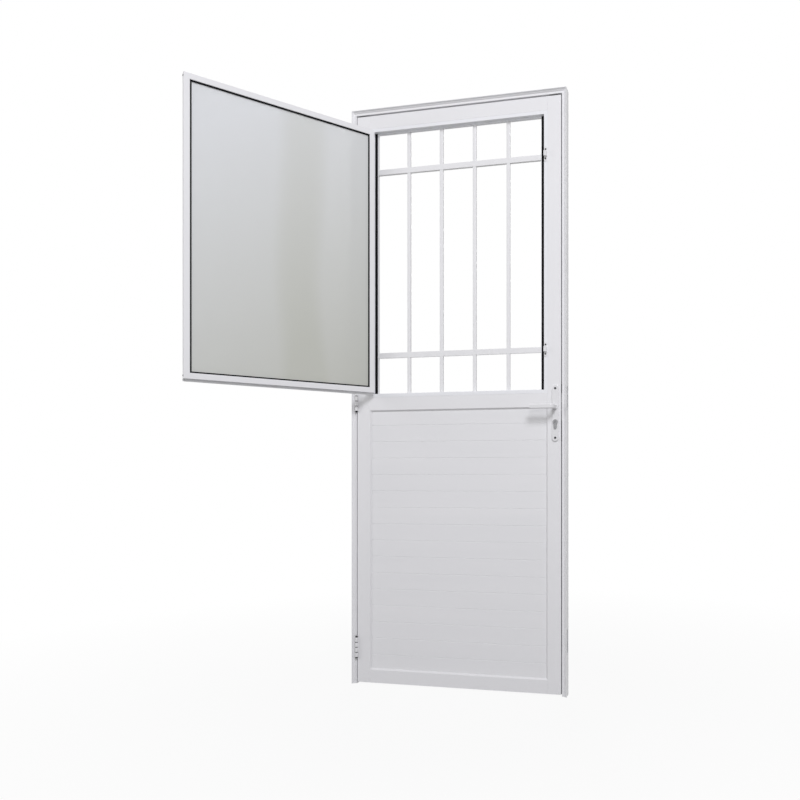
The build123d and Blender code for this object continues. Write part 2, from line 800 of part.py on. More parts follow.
def latch_lever(height):
    hub = rod(latch_x, hub_back, height, (0, -1, 0), latch_hub_radius, latch_hub_thick)
    arm = block(latch_x - latch_arm_width / 2, latch_x + latch_arm_width / 2, hub_front, hub_front + latch_arm_thick,
                height, height + latch_arm_length)
    arm = fillet(arm.edges().filter_by(Axis.Y).group_by(Axis.Z)[-1], latch_arm_width / 3)
    blade = block(latch_x - tongue_width / 2, latch_x + tongue_width / 2, hub_back - tongue_blade, hub_back,
                  height - tongue_reach, height)
    lever = hub + arm + blade
    return lever - rod(latch_x, 0, height, (0, -1, 0), latch_pivot_radius + pin_clear, -hub_front + overrun)


nodes["hatch_latch_bases"] = opened(group(*[latch_base(height) for height in fitting_heights]))
nodes["hatch_latch_lower"] = opened(latch_lever(fitting_heights[0]))
nodes["hatch_latch_upper"] = opened(latch_lever(fitting_heights[1]))

keeper_x1 = stile_inner - keeper_edge_gap
keeper_x0 = keeper_x1 - keeper_width
keeper_x = (keeper_x0 + keeper_x1) / 2
hook_front = hub_back - tongue_blade - tongue_clear


def keeper_screw_places(height):
    return (height - keeper_screw_spacing / 2, height + keeper_screw_spacing / 2)


def keeper(height):
    base = block(keeper_x0, keeper_x1, -keeper_plate, 0, height - keeper_height / 2, height + keeper_height / 2)
    base = fillet(base.edges().filter_by(Axis.Y), keeper_width / 3)
    low, high = height - keeper_hook_height / 2, height + keeper_hook_height / 2
    web = block(keeper_x1 - keeper_plate, keeper_x1, hook_front - keeper_plate, 0, low, high)
    hook = block(keeper_x0, keeper_x1, hook_front - keeper_plate, hook_front, low, high)
    clip = base + web + hook
    for place in keeper_screw_places(height):
        clip -= rod(keeper_x, overrun, place, (0, -1, 0), keeper_screw_radius + screw_play, 2 * overrun)
    return clip


def headed_screw(x, y, z, radius, head_radius, head_height, length):
    """A screw driven towards +Y whose head sits on the plane y, with a driver slot."""
    shank = rod(x, y, z, (0, 1, 0), radius, length)
    head = rod(x, y, z, (0, -1, 0), head_radius, head_height)
    rim = head.edges().filter_by(GeomType.CIRCLE).group_by(Axis.Y)[0]
    head = chamfer(rim, head_height / 3)
    front = y - head_height
    slot = block(x - head_radius, x + head_radius, front - slot_depth, front + slot_depth,
                 z - slot_width / 2, z + slot_width / 2)
    return shank + head - slot


nodes["hatch_keepers"] = group(*[keeper(height) for height in fitting_heights])
nodes["keeper_screws"] = group(*[
    headed_screw(keeper_x, -keeper_plate, place, keeper_screw_radius, keeper_screw_head_radius,
                 keeper_screw_head_height, keeper_screw_length)
    for height in fitting_heights for place in keeper_screw_places(height)
])
for height in fitting_heights:
    for place in keeper_screw_places(height):
        nodes["hatch_frame_lock_side"] -= rod(keeper_x, -overrun, place, (0, 1, 0),
                                              keeper_screw_radius + screw_play, 2 * overrun)


# Handle: plates, levers and the square spindle that joins them
def facing_out(front):
    """A plane on the leaf's room face at the lever's axis, or on its outer face."""
    y = 0 if front else leaf_thick
    return Plane(origin=(lock_x, y, handle_height), x_dir=(1, 0, 0), z_dir=(0, -1 if front else 1, 0))


def escutcheon(front):
    middle = Plane(origin=(lock_x, 0 if front else leaf_thick, plate_z), x_dir=(0, 0, 1),
                   z_dir=(0, -1 if front else 1, 0))
    plate = extrude(middle * SlotOverall(plate_height, plate_width), amount=plate_thick)
    outer_edges = plate.edges().group_by(Axis.Y)[0 if front else -1]
    plate = fillet(outer_edges, plate_edge)
    plate -= euro_run(cylinder_play, -overrun - plate_thick, leaf_thick + overrun + plate_thick)
    return plate - through_holes(-overrun - plate_thick, leaf_thick + overrun + plate_thick,
                                 collar_radius + collar_clear, plate_screw_radius + screw_play)


nodes["escutcheon_inside"] = escutcheon(True)
nodes["escutcheon_outside"] = escutcheon(False)


def plate_screw(height):
    length = leaf_thick + 2 * plate_thick
    screw = headed_screw(lock_x, -plate_thick, height, plate_screw_radius, plate_screw_head_radius,
                         plate_screw_head_height, length)
    nut = rod(lock_x, leaf_thick + plate_thick, height, (0, 1, 0), plate_screw_head_radius,
              plate_screw_head_height)
    return screw + nut


nodes["escutcheon_screws"] = group(*[plate_screw(height) for height in plate_screw_heights])


def lever(front):
    """A round collar in the plate's hole, then a bar that bends towards the hinge side."""
    out = -1 if front else 1
    face_y = 0 if front else leaf_thick
    root = face_y + out * collar_length
    stand = face_y + out * lever_stand
    path = FilletPolyline((lock_x, root, handle_height), (lock_x, stand, handle_height),
                          (lock_x - lever_reach, stand, handle_height), radius=lever_bend)
    start = Plane(origin=(lock_x, root, handle_height), x_dir=(1, 0, 0), z_dir=(0, out, 0))
    bar = sweep(start * RectangleRounded(lever_depth, lever_height, lever_round), path=path)
    collar = rod(lock_x, face_y, handle_height, (0, out, 0), collar_radius, collar_length)
    body = collar + bar
    side = spindle_side + 2 * spindle_clear
    socket = facing_out(front) * Box(side, side, 2 * (spindle_grip + spindle_clear))
    return body - socket


nodes["lever_inside"] = lever(True)
nodes["lever_outside"] = lever(False)
nodes["spindle"] = block(lock_x - spindle_side / 2, lock_x + spindle_side / 2, -spindle_grip,
                         leaf_thick + spindle_grip, handle_height - spindle_side / 2,
                         handle_height + spindle_side / 2)


# Lock: case and faceplate in the stile, two bolts, and a profile cylinder with a turning plug
case_front = leaf_side - faceplate_thick
case_back = case_front - case_depth
case = block(case_back, case_front, lock_y - case_thick / 2, lock_y + case_thick / 2,
             handle_height - case_height_below, handle_height + case_height_above)
channel_back = case_back + frame_wall
case -= bolt_opening(channel_back, case_front + overrun, bolt_play)
case -= rod(lock_x, -overrun, handle_height, (0, 1, 0), spindle_hole_radius, leaf_thick + 2 * overrun)
case -= euro_run(cylinder_play, -overrun, leaf_thick + overrun)
nodes["lock_case"] = case
nodes["lock_faceplate"] = faceplate_body(0) - bolt_opening(case_front - overrun, leaf_side + overrun, bolt_play)

latch = block(leaf_side - latch_tail, leaf_side + latch_throw, lock_y - latch_width / 2, lock_y + latch_width / 2,
              latch_z - latch_height / 2, latch_z + latch_height / 2)
leading_edge = latch.edges().filter_by(Axis.Z).group_by(Axis.X)[-1].sort_by(Axis.Y)[-1]
nodes["latch_bolt"] = chamfer(leading_edge, latch_throw - leaf_gap / 2)
dead_bolt = block(leaf_side - bolt_tail, leaf_side, lock_y - bolt_width / 2, lock_y + bolt_width / 2,
                  bolt_z - bolt_height / 2, bolt_z + bolt_height / 2)
nodes["dead_bolt"] = dead_bolt

cylinder_front = -plate_thick - cylinder_proud
cylinder_back = leaf_thick + plate_thick + cylinder_proud
barrel = euro_run(0, cylinder_front, cylinder_back)
plug_bore = rod(lock_x, cylinder_front - overrun, cylinder_z, (0, 1, 0), plug_radius + plug_clear,
                cylinder_back - cylinder_front + 2 * overrun)
nodes["cylinder_body"] = barrel - plug_bore
plug = rod(lock_x, cylinder_front, cylinder_z, (0, 1, 0), plug_radius, cylinder_back - cylinder_front)
for end_y in (cylinder_front, cylinder_back):
    plug -= block(lock_x - keyway_width / 2, lock_x + keyway_width / 2, end_y - keyway_depth, end_y + keyway_depth,
                  cylinder_z - keyway_height / 2, cylinder_z + keyway_height / 2)
nodes["cylinder_plug"] = plug

os.makedirs("parts", exist_ok=True)
for node_name, shape in nodes.items():
    export_step(shape, f"parts/{node_name}.step")
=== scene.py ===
import math

import bpy
from mathutils import Matrix, Vector


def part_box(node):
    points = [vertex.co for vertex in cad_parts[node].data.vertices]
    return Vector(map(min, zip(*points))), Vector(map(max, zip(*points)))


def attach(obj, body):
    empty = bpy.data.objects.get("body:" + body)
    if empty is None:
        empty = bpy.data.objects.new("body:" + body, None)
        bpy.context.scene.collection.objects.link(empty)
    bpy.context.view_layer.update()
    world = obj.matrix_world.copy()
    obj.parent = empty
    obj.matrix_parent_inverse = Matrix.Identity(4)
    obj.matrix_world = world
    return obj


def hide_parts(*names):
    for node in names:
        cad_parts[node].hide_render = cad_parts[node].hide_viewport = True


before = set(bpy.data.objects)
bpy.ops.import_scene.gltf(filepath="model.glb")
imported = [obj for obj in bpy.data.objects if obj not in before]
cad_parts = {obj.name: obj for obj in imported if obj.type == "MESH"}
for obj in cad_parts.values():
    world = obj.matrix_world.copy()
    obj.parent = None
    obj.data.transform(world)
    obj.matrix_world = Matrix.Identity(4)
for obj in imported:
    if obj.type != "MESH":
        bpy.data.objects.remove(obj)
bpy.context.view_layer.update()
bpy.ops.object.select_all(action="DESELECT")


# Door frame: two jambs and a head, hollow aluminium extrusions mitred and screwed at the top corners.
# They are powder coated in satin white, which dries with a faint orange-peel texture and slight
# shifts of tone.
def new_finish(name, colour, roughness, metallic=0.0):
    finish = bpy.data.materials.new(name)
    finish.use_nodes = True
    shader = finish.node_tree.nodes["Principled BSDF"]
    shader.inputs["Base Color"].default_value = (*colour, 1.0)
    shader.inputs["Roughness"].default_value = roughness
    shader.inputs["Metallic"].default_value = metallic
    return finish, finish.node_tree.nodes, finish.node_tree.links, shader


def mottle(nodes, links, scale, detail, stretch=(1.0, 1.0, 1.0)):
    place = nodes.new("ShaderNodeTexCoord")
    lie = nodes.new("ShaderNodeMapping")
    lie.inputs["Scale"].default_value = stretch
    noise = nodes.new("ShaderNodeTexNoise")
    noise.inputs["Scale"].default_value = scale
    noise.inputs["Detail"].default_value = detail
    links.new(place.outputs["Object"], lie.inputs["Vector"])
    links.new(lie.outputs["Vector"], noise.inputs["Vector"])
    return noise


def tone_between(nodes, links, noise, low, high, target):
    ramp = nodes.new("ShaderNodeValToRGB")
    ramp.color_ramp.elements[0].position = 0.3
    ramp.color_ramp.elements[0].color = (*low, 1.0)
    ramp.color_ramp.elements[1].position = 0.7
    ramp.color_ramp.elements[1].color = (*high, 1.0)
    links.new(noise.outputs["Fac"], ramp.inputs["Fac"])
    links.new(ramp.outputs["Color"], target)


def gloss_between(nodes, links, noise, low, high, target):
    spread = nodes.new("ShaderNodeMapRange")
    spread.inputs["To Min"].default_value = low
    spread.inputs["To Max"].default_value = high
    links.new(noise.outputs["Fac"], spread.inputs["Value"])
    links.new(spread.outputs["Result"], target)


def relief(nodes, links, noise, shader, depth, strength):
    bump = nodes.new("ShaderNodeBump")
    bump.inputs["Strength"].default_value = strength
    bump.inputs["Distance"].default_value = depth
    links.new(noise.outputs["Fac"], bump.inputs["Height"])
    links.new(bump.outputs["Normal"], shader.inputs["Normal"])


def powder_coat(name, low, high, stretch=(1.0, 1.0, 1.0)):
    coat, nodes, links, shader = new_finish(name, high, roughness=0.42)
    shader.inputs["Coat Weight"].default_value = 0.3
    shader.inputs["Coat Roughness"].default_value = 0.12
    cloud = mottle(nodes, links, scale=2.2, detail=3.0, stretch=stretch)
    tone_between(nodes, links, cloud, low, high, shader.inputs["Base Color"])
    peel = mottle(nodes, links, scale=420.0, detail=2.0)
    gloss_between(nodes, links, peel, 0.38, 0.46, shader.inputs["Roughness"])
    relief(nodes, links, peel, shader, depth=0.00005, strength=0.05)
    return coat


def dress(material, *node_names):
    for node_name in node_names:
        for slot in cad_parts[node_name].material_slots:
            slot.material = material


white_frame = powder_coat("white_powder_coat_frame", (0.775, 0.777, 0.79), (0.80, 0.80, 0.813))
dress(white_frame, "frame_hinge_jamb", "frame_lock_jamb", "frame_head")


# Seal strip round the frame's stop: a black rubber extrusion pushed into a groove, against the closed leaf.
# The hatch's two seals and the glazing gasket are the same matt rubber.
def black_rubber_finish():
    rubber, nodes, links, shader = new_finish("matt_black_rubber", (0.006, 0.006, 0.007), roughness=0.8)
    shader.inputs["Specular IOR Level"].default_value = 0.05
    grain = mottle(nodes, links, scale=260.0, detail=3.0)
    tone_between(nodes, links, grain, (0.003, 0.003, 0.004), (0.009, 0.009, 0.010),
                 shader.inputs["Base Color"])
    gloss_between(nodes, links, grain, 0.7, 0.9, shader.inputs["Roughness"])
    relief(nodes, links, grain, shader, depth=0.0002, strength=0.3)
    return rubber


black_rubber = black_rubber_finish()
dress(black_rubber, "frame_seal", "hatch_seals", "sash_gasket")


# Strike plate in the lock jamb, and the lock that meets it: case, faceplate, two bolts, cylinder and spindle.
# They are stamped and turned from steel and brass, plated nickel grey and brushed along their length.
def brushed_metal(name, low, high, rough_low, rough_high):
    metal, nodes, links, shader = new_finish(name, high, rough_high, metallic=1.0)
    lines = mottle(nodes, links, scale=180.0, detail=4.0, stretch=(6.0, 6.0, 0.25))
    tone_between(nodes, links, lines, low, high, shader.inputs["Base Color"])
    gloss_between(nodes, links, lines, rough_low, rough_high, shader.inputs["Roughness"])
    relief(nodes, links, lines, shader, depth=0.00005, strength=0.3)
    return metal


lock_metal = brushed_metal("nickel_grey_metal", (0.30, 0.30, 0.31), (0.46, 0.46, 0.47), 0.28, 0.45)
dress(lock_metal, "strike_plate", "lock_faceplate", "lock_case", "latch_bolt", "dead_bolt", "spindle")
cylinder_metal = brushed_metal("worn_cylinder_metal", (0.20, 0.20, 0.205), (0.33, 0.33, 0.34), 0.3, 0.45)
dress(cylinder_metal, "cylinder_body", "cylinder_plug")


# Flat screws that hold the strike plate, the faceplate and the door hinges, turned from bright steel.
# Each is a low dome with a cross recess. The handle's and the keepers' screws are dark, and so are the
# pins of all the hinges.
def round_edges(piece, chosen, width, steps):
    bpy.ops.object.mode_set(mode="EDIT")
    bpy.ops.mesh.select_mode(type="EDGE")
    bpy.ops.mesh.select_all(action="DESELECT")
    bpy.ops.object.mode_set(mode="OBJECT")
    for edge in piece.data.edges:
        low, high = sorted(piece.data.vertices[index].co.z for index in edge.vertices)
        edge.select = chosen(low, high)
    bpy.ops.object.mode_set(mode="EDIT")
    bpy.ops.mesh.bevel(offset=width, segments=steps, affect="EDGES")
    bpy.ops.object.mode_set(mode="OBJECT")


def cut_away(piece, tool, cut_name):
    bpy.ops.object.select_all(action="DESELECT")
    piece.select_set(True)
    bpy.context.view_layer.objects.active = piece
    cut = piece.modifiers.new(cut_name, "BOOLEAN")
    cut.operation = "DIFFERENCE"
    cut.object = tool
    bpy.ops.object.modifier_apply(modifier=cut.name)
    bpy.data.objects.remove(tool)


def screw_head(name, radius, rise, recess):
    bpy.ops.object.select_all(action="DESELECT")
    bpy.ops.mesh.primitive_cylinder_add(vertices=32, radius=radius, depth=rise,
                                        location=(0.0, 0.0, rise / 2.0))
    head = bpy.context.object
    head.name = name
    bpy.ops.object.transform_apply(location=True, rotation=True, scale=True)
    round_edges(head, lambda low, high: low > rise * 0.9, width=rise * 0.6, steps=3)
    for turn in (0.0, math.pi / 2.0):
        bpy.ops.object.select_all(action="DESELECT")
        bpy.ops.mesh.primitive_cube_add(size=1.0, location=(0.0, 0.0, rise), rotation=(0.0, 0.0, turn))
        blade = bpy.context.object
        blade.scale = (radius * 1.1, radius * 0.28, recess * 2.0)
        bpy.ops.object.transform_apply(location=True, rotation=True, scale=True)
        cut_away(head, blade, "driver_cross")
    return head


def set_copy(pattern, name, place, finish, body):
    piece = pattern.copy()
    piece.data = pattern.data.copy()
    piece.name = name
    piece.data.transform(place)
    piece.data.materials.clear()
    piece.data.materials.append(finish)
    bpy.context.scene.collection.objects.link(piece)
    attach(piece, body)
    return piece


def set_screws(pattern, name, finish, body, places):
    for number, (place, outward) in enumerate(places, start=1):
        turn = Vector(outward).to_track_quat("Z", "Y").to_matrix().to_4x4()
        set_copy(pattern, f"{name}_{number}", Matrix.Translation(Vector(place)) @ turn,
                 finish, body)


dark_screws = brushed_metal("dark_screw_metal", (0.03, 0.03, 0.033), (0.075, 0.075, 0.08), 0.35, 0.55)
dress(dark_screws, "keeper_screws", "escutcheon_screws", "door_hinge_pins", "hatch_hinge_pins")
flat_screw = screw_head("flat_screw_pattern", radius=0.0034, rise=0.00018, recess=0.00012)

strike_low, strike_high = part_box("strike_plate")
plate_low, plate_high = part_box("lock_faceplate")
plate_middle = (plate_low.y + plate_high.y) / 2.0
strike_screw_inset = 0.008
faceplate_screw_inset = 0.010
set_screws(flat_screw, "strike_screw", lock_metal, "frame", [
    ((strike_low.x, plate_middle, strike_low.z + strike_screw_inset), (-1.0, 0.0, 0.0)),
    ((strike_low.x, plate_middle, strike_high.z - strike_screw_inset), (-1.0, 0.0, 0.0)),
])
set_screws(flat_screw, "faceplate_screw", lock_metal, "leaf", [
    ((plate_high.x, plate_middle, plate_low.z + faceplate_screw_inset), (1.0, 0.0, 0.0)),
    ((plate_high.x, plate_middle, plate_high.z - faceplate_screw_inset), (1.0, 0.0, 0.0)),
])


# Leaf: two full-height stiles and three rails, hollow extrusions screwed together, with the hatch frame
# inside. All are coated with the same white as the frame; the hatch frame's copy is painted lighter and
# cooler, as painted light.
white_leaf = powder_coat("white_powder_coat_leaf", (0.78, 0.78, 0.793), (0.803, 0.803, 0.815))
dress(white_leaf, "leaf_hinge_stile", "leaf_lock_stile", "leaf_top_rail", "leaf_mid_rail", "leaf_bottom_rail")
# Painted light: this copy of the white is lighter and bluer than the frame's.
hatch_frame_white_painted_light = powder_coat("white_powder_coat_hatch_frame_painted_light", (0.80, 0.81, 0.835), (0.825, 0.833, 0.855))
dress(hatch_frame_white_painted_light, "hatch_frame_hinge_side", "hatch_frame_lock_side", "hatch_frame_top",
      "hatch_frame_bottom")


# Door hinges: three barrels of four knuckles each, with a plate on the jamb and a plate on the leaf's edge.
# Stamped steel, coated white with the door, round an oiled steel pin, each plate held by three flat screws.
# Black nylon washers part the knuckles, and a black nylon bush closes each end of the barrel; their black
# also stands as painted shade in the knuckles' gaps and at the barrel's ends.
white_hinges = powder_coat("white_powder_coat_hinges", (0.74, 0.742, 0.75), (0.79, 0.79, 0.80))
dress(white_hinges, "door_hinge_frame_halves", "door_hinge_leaf_halves", "hatch_hinge_leaf_halves",
      "hatch_hinge_sash_halves")
leaf_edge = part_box("leaf_hinge_stile")[0].x
jamb_plate_gap = 0.002
leaf_plate_rise = 0.0015
hinge_pin = (-0.38175, -0.00575)
hinge_heights = (0.134, 1.036, 1.950)
hinge_screw_spots = ((0.009, -0.026), (0.019, 0.0), (0.009, 0.026))
washer_rises = (-0.0184, 0.0, 0.0184)
bush_rises = (-0.0379, 0.0379)
set_screws(flat_screw, "jamb_hinge_screw", lock_metal, "frame", [
    ((leaf_edge - jamb_plate_gap, depth, height + rise), (1.0, 0.0, 0.0))
    for height in hinge_heights for depth, rise in hinge_screw_spots
])
set_screws(flat_screw, "leaf_hinge_screw", lock_metal, "leaf", [
    ((leaf_edge - leaf_plate_rise, depth, height - rise), (-1.0, 0.0, 0.0))
    for height in hinge_heights for depth, rise in hinge_screw_spots
])


def black_nylon_finish():
    nylon, nodes, links, shader = new_finish("black_nylon_and_painted_shade", (0.008, 0.008, 0.009), roughness=0.5)
    shader.inputs["Specular IOR Level"].default_value = 0.1
    grain = mottle(nodes, links, scale=300.0, detail=2.0)
    tone_between(nodes, links, grain, (0.006, 0.006, 0.007), (0.014, 0.014, 0.015),
                 shader.inputs["Base Color"])
    gloss_between(nodes, links, grain, 0.42, 0.55, shader.inputs["Roughness"])
    return nylon


def nylon_turning(name, radius, height, rim):
    bpy.ops.object.select_all(action="DESELECT")
    bpy.ops.mesh.primitive_cylinder_add(vertices=32, radius=radius, depth=height, location=(0.0, 0.0, 0.0))
    turning = bpy.context.object
    turning.name = name
    round_edges(turning, lambda low, high: high - low < height * 0.1, width=rim, steps=2)
    return turning


def bored(turning, bore):
    bpy.ops.object.select_all(action="DESELECT")
    bpy.ops.mesh.primitive_cylinder_add(vertices=32, radius=bore, depth=0.02, location=(0.0, 0.0, 0.0))
    cut_away(turning, bpy.context.object, "pin_bore")
    return turning


def set_on_pins(pattern, name, finish, heights):
    for number, height in enumerate(heights, start=1):
        set_copy(pattern, f"{name}_{number}", Matrix.Translation(Vector((*hinge_pin, height))),
                 finish, "frame")
    bpy.data.objects.remove(pattern)


# The washers' and bushes' black is partly painted shade in the hinges' gaps and at their ends.
black_nylon_and_painted_shade = black_nylon_finish()
hinge_washer = nylon_turning("hinge_washer_pattern", radius=0.0052, height=0.0019, rim=0.0003)
set_on_pins(bored(hinge_washer, bore=0.0029), "hinge_washer", black_nylon_and_painted_shade,
            [height + rise for height in hinge_heights for rise in washer_rises])
hinge_bush = nylon_turning("hinge_bush_pattern", radius=0.0046, height=0.0040, rim=0.0008)
set_on_pins(hinge_bush, "hinge_bush", black_nylon_and_painted_shade,
            [height + rise for height in hinge_heights for rise in bush_rises])


# Boards of the lower panel: hollow tongue-and-groove extrusions laid level, each fluted along its middle.
# The coat drifts a little along each board, where it hung on the rack. Sloped beads close the panel's
# edges; their copy of the white is painted darker, as painted shade on their lit slopes.
white_boards = powder_coat("white_powder_coat_boards", (0.775, 0.777, 0.79), (0.803, 0.803, 0.815),
                           stretch=(0.35, 1.0, 6.0))
dress(white_boards, *[f"panel_board_{number}" for number in range(1, 9)])
# Painted shade: this copy of the white is darker than the boards' to dim the beads' lit slopes.
beads_white_painted_shade = powder_coat("white_powder_coat_beads_painted_shade", (0.725, 0.725, 0.737), (0.75, 0.75, 0.762))
dress(beads_white_painted_shade, "panel_beads")


# Grille: upright tubes that pass through holes punched in two level tubes, coated white after assembly.
# Its ends stand in the lip of the hatch frame. The uprights are thin-walled tubes drawn with rounded
# corners, and they fill the level tubes from front to back.
white_grille = powder_coat("white_powder_coat_grille", (0.77, 0.772, 0.78), (0.80, 0.80, 0.81))
dress(white_grille, "grille_rail_lower", "grille_rail_upper")
upright_width = 0.013
upright_depth = 0.010
upright_wall = 0.0012
upright_corner = 0.002
upright_low, upright_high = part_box("grille_bar_1")
upright_length = upright_high.z - upright_low.z
bpy.ops.object.select_all(action="DESELECT")
bpy.ops.mesh.primitive_cube_add(size=1.0, location=(0.0, 0.0, 0.0))
upright = bpy.context.object
upright.name = "grille_upright_pattern"
upright.scale = (upright_width, upright_depth, upright_length)
bpy.ops.object.transform_apply(location=True, rotation=True, scale=True)
bpy.ops.object.mode_set(mode="EDIT")
bpy.ops.mesh.select_mode(type="FACE")
bpy.ops.mesh.select_all(action="DESELECT")
bpy.ops.object.mode_set(mode="OBJECT")
for face in upright.data.polygons:
    face.select = abs(face.normal.z) > 0.9
bpy.ops.object.mode_set(mode="EDIT")
bpy.ops.mesh.delete(type="ONLY_FACE")
round_edges(upright, lambda low, high: high - low > upright_length * 0.5, width=upright_corner, steps=4)
wall = upright.modifiers.new("tube_wall", "SOLIDIFY")
wall.thickness = upright_wall
wall.offset = -1.0
bpy.ops.object.modifier_apply(modifier=wall.name)
bpy.ops.object.shade_smooth_by_angle(angle=math.radians(30.0))
for number in range(1, 5):
    bar_low, bar_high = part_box(f"grille_bar_{number}")
    bar = set_copy(upright, f"grille_upright_{number}", Matrix.Translation((bar_low + bar_high) / 2.0),
                   white_grille, "leaf")
    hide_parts(f"grille_bar_{number}")
bpy.data.objects.remove(upright)


# Handle: two narrow plates and two bent levers on one square spindle, die cast and coated white.
# Through screws join the plates; the hatch's keepers and latches are the same castings.
# Painted shade: this copy of the white is darker than the frame's, so that the levers' shaded undersides read
# darker.
castings_white_painted_shade = powder_coat("white_powder_coat_castings_painted_shade", (0.72, 0.72, 0.73), (0.76, 0.76, 0.77))
dress(castings_white_painted_shade, "escutcheon_inside", "escutcheon_outside", "lever_inside", "lever_outside",
      "hatch_keepers", "hatch_latch_bases", "hatch_latch_lower", "hatch_latch_upper")


# Hatch sash: four mitred extrusions round one pane, with snap-in beads on the room side.
# The pane is satin glass: it blurs and greys what stands behind it, and lets the light through, so that
# only the frame round it throws a shadow.
white_sash = powder_coat("white_powder_coat_sash", (0.785, 0.787, 0.80), (0.81, 0.812, 0.825))
dress(white_sash, "sash_hinge_stile", "sash_lock_stile", "sash_top_rail", "sash_bottom_rail", "glazing_beads")


# Painted light: the pane's colour grows lighter towards the top of its free edge and darker towards the
# bottom, and one soft darker streak across it is a painted reflection.
def satin_glass():
    glass, nodes, links, shader = new_finish("satin_glass", (0.60, 0.61, 0.59), roughness=0.3)
    shader.inputs["Transmission Weight"].default_value = 0.16
    shader.inputs["IOR"].default_value = 1.45
    place = nodes.new("ShaderNodeTexCoord")
    along = nodes.new("ShaderNodeVectorMath")
    along.operation = "DOT_PRODUCT"
    along.inputs[1].default_value = (0.0, -0.85, 1.0)
    # Painted light: lighter towards the top of the free edge, darker towards the bottom.
    height = nodes.new("ShaderNodeMapRange")
    height.inputs["From Min"].default_value = 1.1
    height.inputs["From Max"].default_value = 2.3
    height.inputs["To Min"].default_value = -0.25
    height.inputs["To Max"].default_value = 0.76
    height.clamp = False
    across = nodes.new("ShaderNodeMapping")
    across.inputs["Rotation"].default_value = (0.0, 0.0, math.radians(130.0))
    # Painted reflection: a wave that lays one soft darker streak across the pane.
    painted_reflection_wave = nodes.new("ShaderNodeTexWave")
    painted_reflection_wave.inputs["Scale"].default_value = 0.52
    painted_reflection_wave.inputs["Distortion"].default_value = 1.2
    painted_reflection_wave.inputs["Detail"].default_value = 1.0
    painted_reflection_wave.inputs["Detail Scale"].default_value = 2.0
    painted_reflection_wave.inputs["Phase Offset"].default_value = 1.32
    painted_dark_streak = nodes.new("ShaderNodeMapRange")
    painted_dark_streak.interpolation_type = "SMOOTHSTEP"
    painted_dark_streak.inputs["From Max"].default_value = 0.26
    painted_dark_streak.inputs["To Max"].default_value = 0.27
    # The painted light and the painted reflection are summed here and drive the tint.
    cloud = nodes.new("ShaderNodeMath")
    cloud.operation = "ADD"
    tint = nodes.new("ShaderNodeValToRGB")
    tint.color_ramp.elements[0].color = (0.54, 0.547, 0.503, 1.0)
    tint.color_ramp.elements[1].color = (0.70, 0.713, 0.725, 1.0)
    links.new(place.outputs["Object"], along.inputs[0])
    links.new(along.outputs["Value"], height.inputs["Value"])
    links.new(place.outputs["Object"], across.inputs["Vector"])
    links.new(across.outputs["Vector"], painted_reflection_wave.inputs["Vector"])
    links.new(painted_reflection_wave.outputs["Fac"], painted_dark_streak.inputs["Value"])
    links.new(painted_dark_streak.outputs["Result"], cloud.inputs[0])
    links.new(height.outputs["Result"], cloud.inputs[1])
    links.new(cloud.outputs["Value"], tint.inputs["Fac"])
    links.new(tint.outputs["Color"], shader.inputs["Base Color"])
    haze = mottle(nodes, links, scale=6.0, detail=3.0)
    gloss_between(nodes, links, haze, 0.18, 0.22, shader.inputs["Roughness"])
    return glass


dress(satin_glass(), "sash_glass")
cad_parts["sash_glass"].visible_shadow = False


# Hatch hinges: two small surface hinges, each plate held by two round-headed screws.
# Their outer plates sit on the hatch frame and their inner plates on the sash, whose free corners are
# screwed too. A flat screw holds each end of a latch's base, so that the latch can turn over it.
hatch_axis = Vector((-0.319, -0.0048, 0.0))
hatch_open = Matrix.Rotation(math.radians(-130.0), 4, "Z")


def on_open_sash(x, y, z):
    return hatch_axis + hatch_open @ (Vector((x, y, z)) - hatch_axis)


leaf_outward = Vector((0.0, -1.0, 0.0))
sash_outward = hatch_open @ leaf_outward
sash_edge_outward = hatch_open @ Vector((1.0, 0.0, 0.0))
hatch_heights = (1.201, 1.8775)
hatch_plate_face = -0.0015
outer_plate_middle = -0.3275
inner_plate_middle = -0.3105
plate_screw_rises = (-0.015, 0.015)
round_screw = screw_head("round_screw_pattern", radius=0.0019, rise=0.0007, recess=0.0004)
set_screws(round_screw, "hatch_hinge_frame_screw", lock_metal, "leaf", [
    ((outer_plate_middle, hatch_plate_face, height + rise), leaf_outward)
    for height in hatch_heights for rise in plate_screw_rises
])
set_screws(round_screw, "hatch_hinge_sash_screw", lock_metal, "sash", [
    (on_open_sash(inner_plate_middle, hatch_plate_face, height + rise), sash_outward)
    for height in hatch_heights for rise in plate_screw_rises
])
bpy.data.objects.remove(round_screw)

sash_free_edge = 0.317
sash_middle_depth = 0.0074
corner_screw_heights = (1.0733, 2.0052)
corner_screw = screw_head("corner_screw_pattern", radius=0.003, rise=0.0012, recess=0.0007)
set_screws(corner_screw, "sash_corner_screw", dark_screws, "sash", [
    (on_open_sash(sash_free_edge, sash_middle_depth, height), sash_edge_outward)
    for height in corner_screw_heights
])
bpy.data.objects.remove(corner_screw)

latch_base_middle = 0.30775
latch_base_face = -0.005
latch_screw_rises = (-0.0185, 0.0185)
set_screws(flat_screw, "latch_base_screw", dark_screws, "sash", [
    (on_open_sash(latch_base_middle, latch_base_face, height + rise), sash_outward)
    for height in hatch_heights for rise in latch_screw_rises
])
bpy.data.objects.remove(flat_screw)


